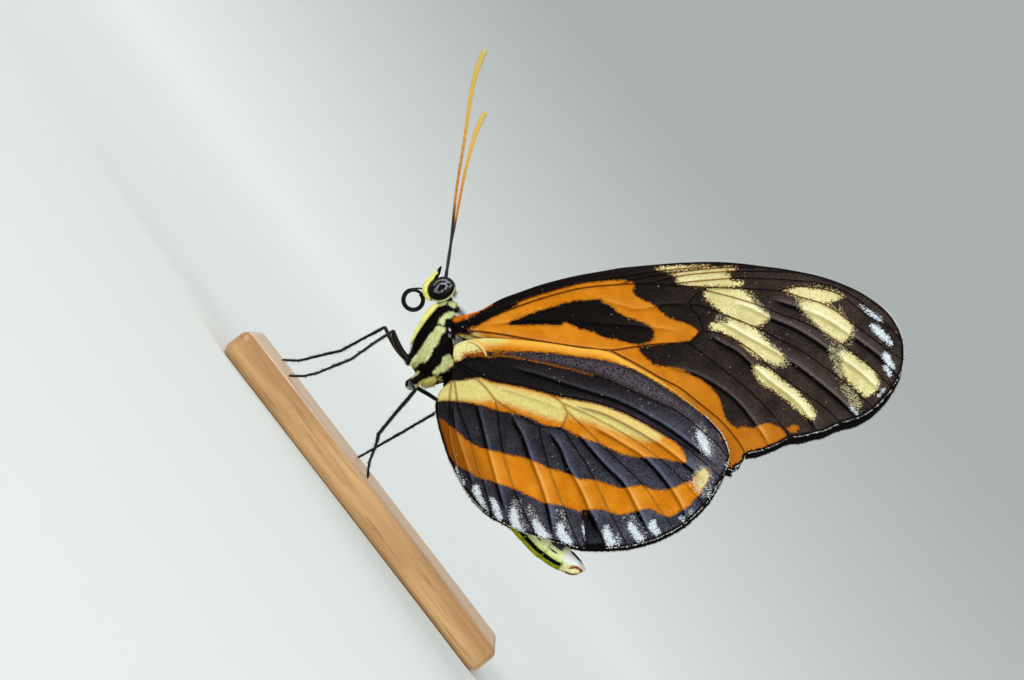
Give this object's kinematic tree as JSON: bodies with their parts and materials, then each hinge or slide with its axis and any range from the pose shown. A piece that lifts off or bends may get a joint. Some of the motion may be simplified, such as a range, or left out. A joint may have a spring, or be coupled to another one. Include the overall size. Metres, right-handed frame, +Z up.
{
  "type": "longwing butterfly model",
  "caption": "Life-size model of a tiger-patterned longwing butterfly at rest, wings closed over its back, standing on a thin wooden base.",
  "frame": {"origin": "centre of the base's underside", "axes": "+Z up, the head faces -X, the butterfly's left side faces -Y"},
  "size_m": [0.0471, 0.0255, 0.0488],
  "materials": {
    "wood": "satin oiled wood",
    "body": "matt black scales with pale yellow stripes",
    "abdomen": "matt pale yellow-green scales with black side stripes",
    "eye": "glossy dark facets with grey lattice",
    "limb": "satin black horn with short bristles",
    "antenna": "satin orange with dark rings, black at the base",
    "wing": "fine scales, orange, black and pale yellow"
  },
  "bodies": {
    "root": {"stand_base": "wood", "thorax": "body", "abdomen": "abdomen", "head": "body", "eye_left": "eye", "eye_right": "eye", "palp_left": "body", "palp_right": "body", "proboscis": "limb", "antenna_left": "antenna", "antenna_right": "antenna", "foreleg_left": "body", "foreleg_right": "body", "midleg_left": "limb", "midleg_right": "limb", "hindleg_left": "limb", "hindleg_right": "limb", "forewing_left": "wing", "forewing_right": "wing", "hindwing_left": "wing", "hindwing_right": "wing"}
  },
  "joints": []
}
